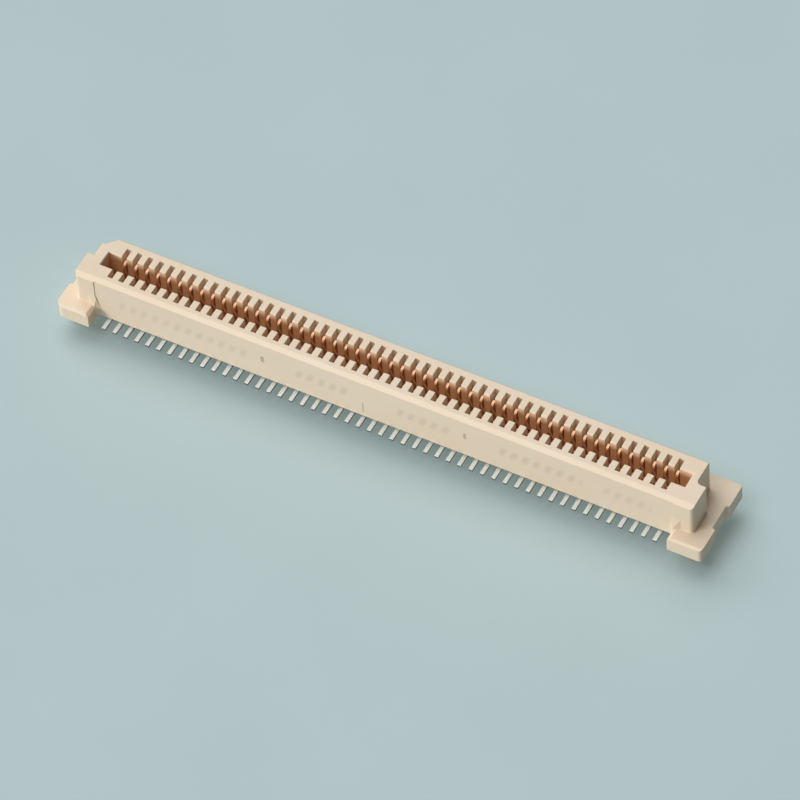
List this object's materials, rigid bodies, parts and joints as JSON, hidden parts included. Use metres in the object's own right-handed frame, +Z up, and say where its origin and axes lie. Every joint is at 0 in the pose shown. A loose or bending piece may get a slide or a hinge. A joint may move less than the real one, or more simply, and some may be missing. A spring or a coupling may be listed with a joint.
{
  "type": "board-to-board socket",
  "caption": "Board-to-board socket: a beige moulded bar with a long keyed mating slot, facing rows of spring contacts, flat solder leads and end plates on locating pegs.",
  "frame": {"origin": "middle of the two contact rows, on the face of the board: the plane of the leads and of the end plates' soles", "axes": "+X along the rows, +Y across the slot away from the picture's viewer, +Z up out of the mating slot"},
  "size_m": [0.0458, 0.0058, 0.0051],
  "materials": {
    "housing_plastic": "moulded, faintly satin",
    "contact_metal": "copper alloy, gold flash on the spring end and bright tin on the solder lead"
  },
  "bodies": {
    "root": {"housing": "housing_plastic", "front_contacts_01": "contact_metal", "front_contacts_02": "contact_metal", "front_contacts_03": "contact_metal", "front_contacts_04": "contact_metal", "front_contacts_05": "contact_metal", "front_contacts_06": "contact_metal", "front_contacts_07": "contact_metal", "front_contacts_08": "contact_metal", "front_contacts_09": "contact_metal", "front_contacts_10": "contact_metal", "front_contacts_11": "contact_metal", "front_contacts_12": "contact_metal", "front_contacts_13": "contact_metal", "front_contacts_14": "contact_metal", "front_contacts_15": "contact_metal", "front_contacts_16": "contact_metal", "front_contacts_17": "contact_metal", "front_contacts_18": "contact_metal", "front_contacts_19": "contact_metal", "front_contacts_20": "contact_metal", "front_contacts_21": "contact_metal", "front_contacts_22": "contact_metal", "front_contacts_23": "contact_metal", "front_contacts_24": "contact_metal", "front_contacts_25": "contact_metal", "back_contacts_01": "contact_metal", "back_contacts_02": "contact_metal", "back_contacts_03": "contact_metal", "back_contacts_04": "contact_metal", "back_contacts_05": "contact_metal", "back_contacts_06": "contact_metal", "back_contacts_07": "contact_metal", "back_contacts_08": "contact_metal", "back_contacts_09": "contact_metal", "back_contacts_10": "contact_metal", "back_contacts_11": "contact_metal", "back_contacts_12": "contact_metal", "back_contacts_13": "contact_metal", "back_contacts_14": "contact_metal", "back_contacts_15": "contact_metal", "back_contacts_16": "contact_metal", "back_contacts_17": "contact_metal", "back_contacts_18": "contact_metal", "back_contacts_19": "contact_metal", "back_contacts_20": "contact_metal", "back_contacts_21": "contact_metal", "back_contacts_22": "contact_metal", "back_contacts_23": "contact_metal", "back_contacts_24": "contact_metal", "back_contacts_25": "contact_metal"}
  },
  "joints": []
}
